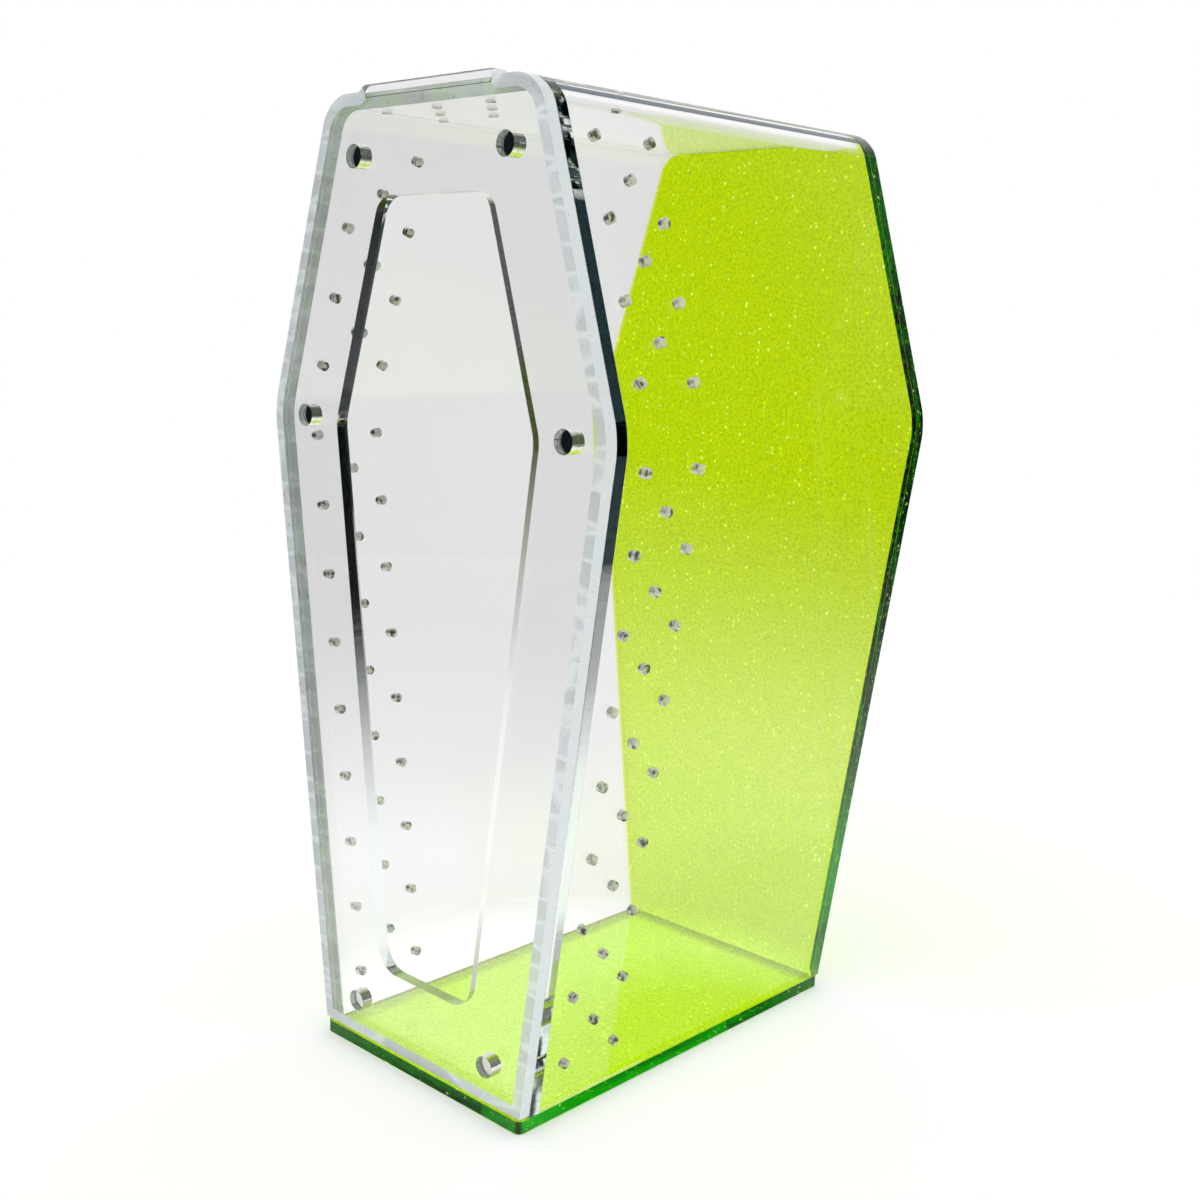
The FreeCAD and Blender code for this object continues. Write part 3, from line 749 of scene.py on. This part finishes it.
def make_room_light():
    """The light of the room all round, dark on most sides and bright behind on the left."""
    group, given, result = new_group("room_light", [("Direction", "Vector")], [("Light", "Color")])
    across = node(group, "ShaderNodeVectorMath", {
        0: given["Direction"], 1: ROOM_ACROSS,
    }, operation="DOT_PRODUCT")
    room = ramp(group, scaled(group, across.outputs["Value"], -1.0, 1.0), ROOM_STOPS)
    room.color_ramp.interpolation = "EASE"
    group.links.new(room.outputs["Color"], result["Light"])
    return group


room_light = make_room_light()
paper, tree, output = new_material("white_paper")
shiny, clear, behind = ways_seen(tree)
place = object_place(tree)
away = node(tree, "ShaderNodeVectorMath", {0: place}, operation="LENGTH").outputs["Value"]
# Painted light and shadow, seen only in reflections: the table is painted dark within 5 cm of the middle as a
# shadow, fully lit from 7 to 20 cm, and dimmer beyond, where it turns into a painted reflection of the room
# light.
painted_light_stops = [(distance / TABLE_RADIUS, (level, level, level, 1.0)) for distance, level in TABLE_PAINTED_LIGHT]
painted_table_light = ramp(tree, sum_of(tree, "DIVIDE", away, TABLE_RADIUS), painted_light_stops)
outwards = node(tree, "ShaderNodeVectorMath", {0: place}, operation="NORMALIZE")
room = node(tree, "ShaderNodeGroup", {"Direction": outwards.outputs["Vector"]}, node_tree=room_light)
painted_table_look = blend(tree, scaled(tree, away, *TABLE_FADES), painted_table_light.outputs["Color"], room.outputs["Light"])
# Seen through glass, the table is painted a little darker, as painted shade; in reflections it takes its
# painted light and shadow.
level = fade(tree, shiny, clear, painted_table_look)
# Painted light: seen through glass, the table within 55 mm of the middle glows, fading out by 80 mm, a
# painted pool of light under the floor.
painted_pool = sum_of(tree, "MULTIPLY", scaled(tree, away, *UNDER_FLOOR), behind)
matt = node(tree, "ShaderNodeBsdfPrincipled", {
    "Base Color": blend(tree, level, BLACK, PAPER_WHITE),
    "Roughness": 0.9,
    "Specular IOR Level": 0.0,
    "Emission Color": blend(tree, painted_pool, blend(tree, level, BLACK, WHITE), PAINTED_POOL_LIGHT),
    "Emission Strength": 0.10,
})
tree.links.new(matt.outputs["BSDF"], output.inputs["Surface"])
table.data.materials.append(paper)

scene = bpy.context.scene
world = bpy.data.worlds.new("studio")
scene.world = world
world.use_nodes = True
tree = world.node_tree
tree.nodes.clear()
output = tree.nodes.new("ShaderNodeOutputWorld")
shiny, clear, behind = ways_seen(tree)
direction = node(tree, "ShaderNodeTexCoord").outputs["Generated"]
room = node(tree, "ShaderNodeGroup", {"Direction": direction}, node_tree=room_light)
upward = node(tree, "ShaderNodeSeparateXYZ", {"Vector": direction})
overhead = scaled(tree, upward.outputs["Z"], *OVERHEAD, interpolation_type="SMOOTHSTEP")
lit_room = blend(tree, overhead, room.outputs["Light"], OVERHEAD_LIGHT)
# Seen through glass, the white background is painted a little darker, as painted shade.
seen = blend(tree, shiny, blend(tree, clear, BLACK, WHITE), lit_room)
background = node(tree, "ShaderNodeBackground", {"Color": seen})
tree.links.new(background.outputs["Background"], output.inputs["Surface"])

# Camera
# Placed where the photograph was taken from, a little above and to the right of the front. Light is
# followed through many sheets, so that the cut edges don't go black.
CAMERA_PLACE = (0.24236, -0.26625, 0.17433)
CAMERA_YAW, CAMERA_PITCH, CAMERA_ROLL = 44.16, -12.68, 1.62
CAMERA_LENS = 44.82
CAMERA_SENSOR = 36.0
CAMERA_SHIFT = (0.04339, 0.04606)
CAMERA_NEAREST = 0.01

eye = bpy.data.cameras.new("camera")
eye.sensor_width = CAMERA_SENSOR
eye.lens = CAMERA_LENS
eye.shift_x, eye.shift_y = CAMERA_SHIFT
eye.clip_start = CAMERA_NEAREST
camera = bpy.data.objects.new("camera", eye)
scene.collection.objects.link(camera)
turn = Matrix.Rotation(math.radians(CAMERA_YAW), 4, "Z")
turn @= Matrix.Rotation(math.radians(90.0 + CAMERA_PITCH), 4, "X")
turn @= Matrix.Rotation(math.radians(CAMERA_ROLL), 4, "Z")
camera.matrix_world = Matrix.Translation(CAMERA_PLACE) @ turn
scene.camera = camera
scene.view_settings.view_transform = "Standard"
scene.cycles.max_bounces = 40
scene.cycles.glossy_bounces = 24
scene.cycles.transmission_bounces = 40
scene.cycles.transparent_max_bounces = 24
scene.cycles.blur_glossy = 0.0
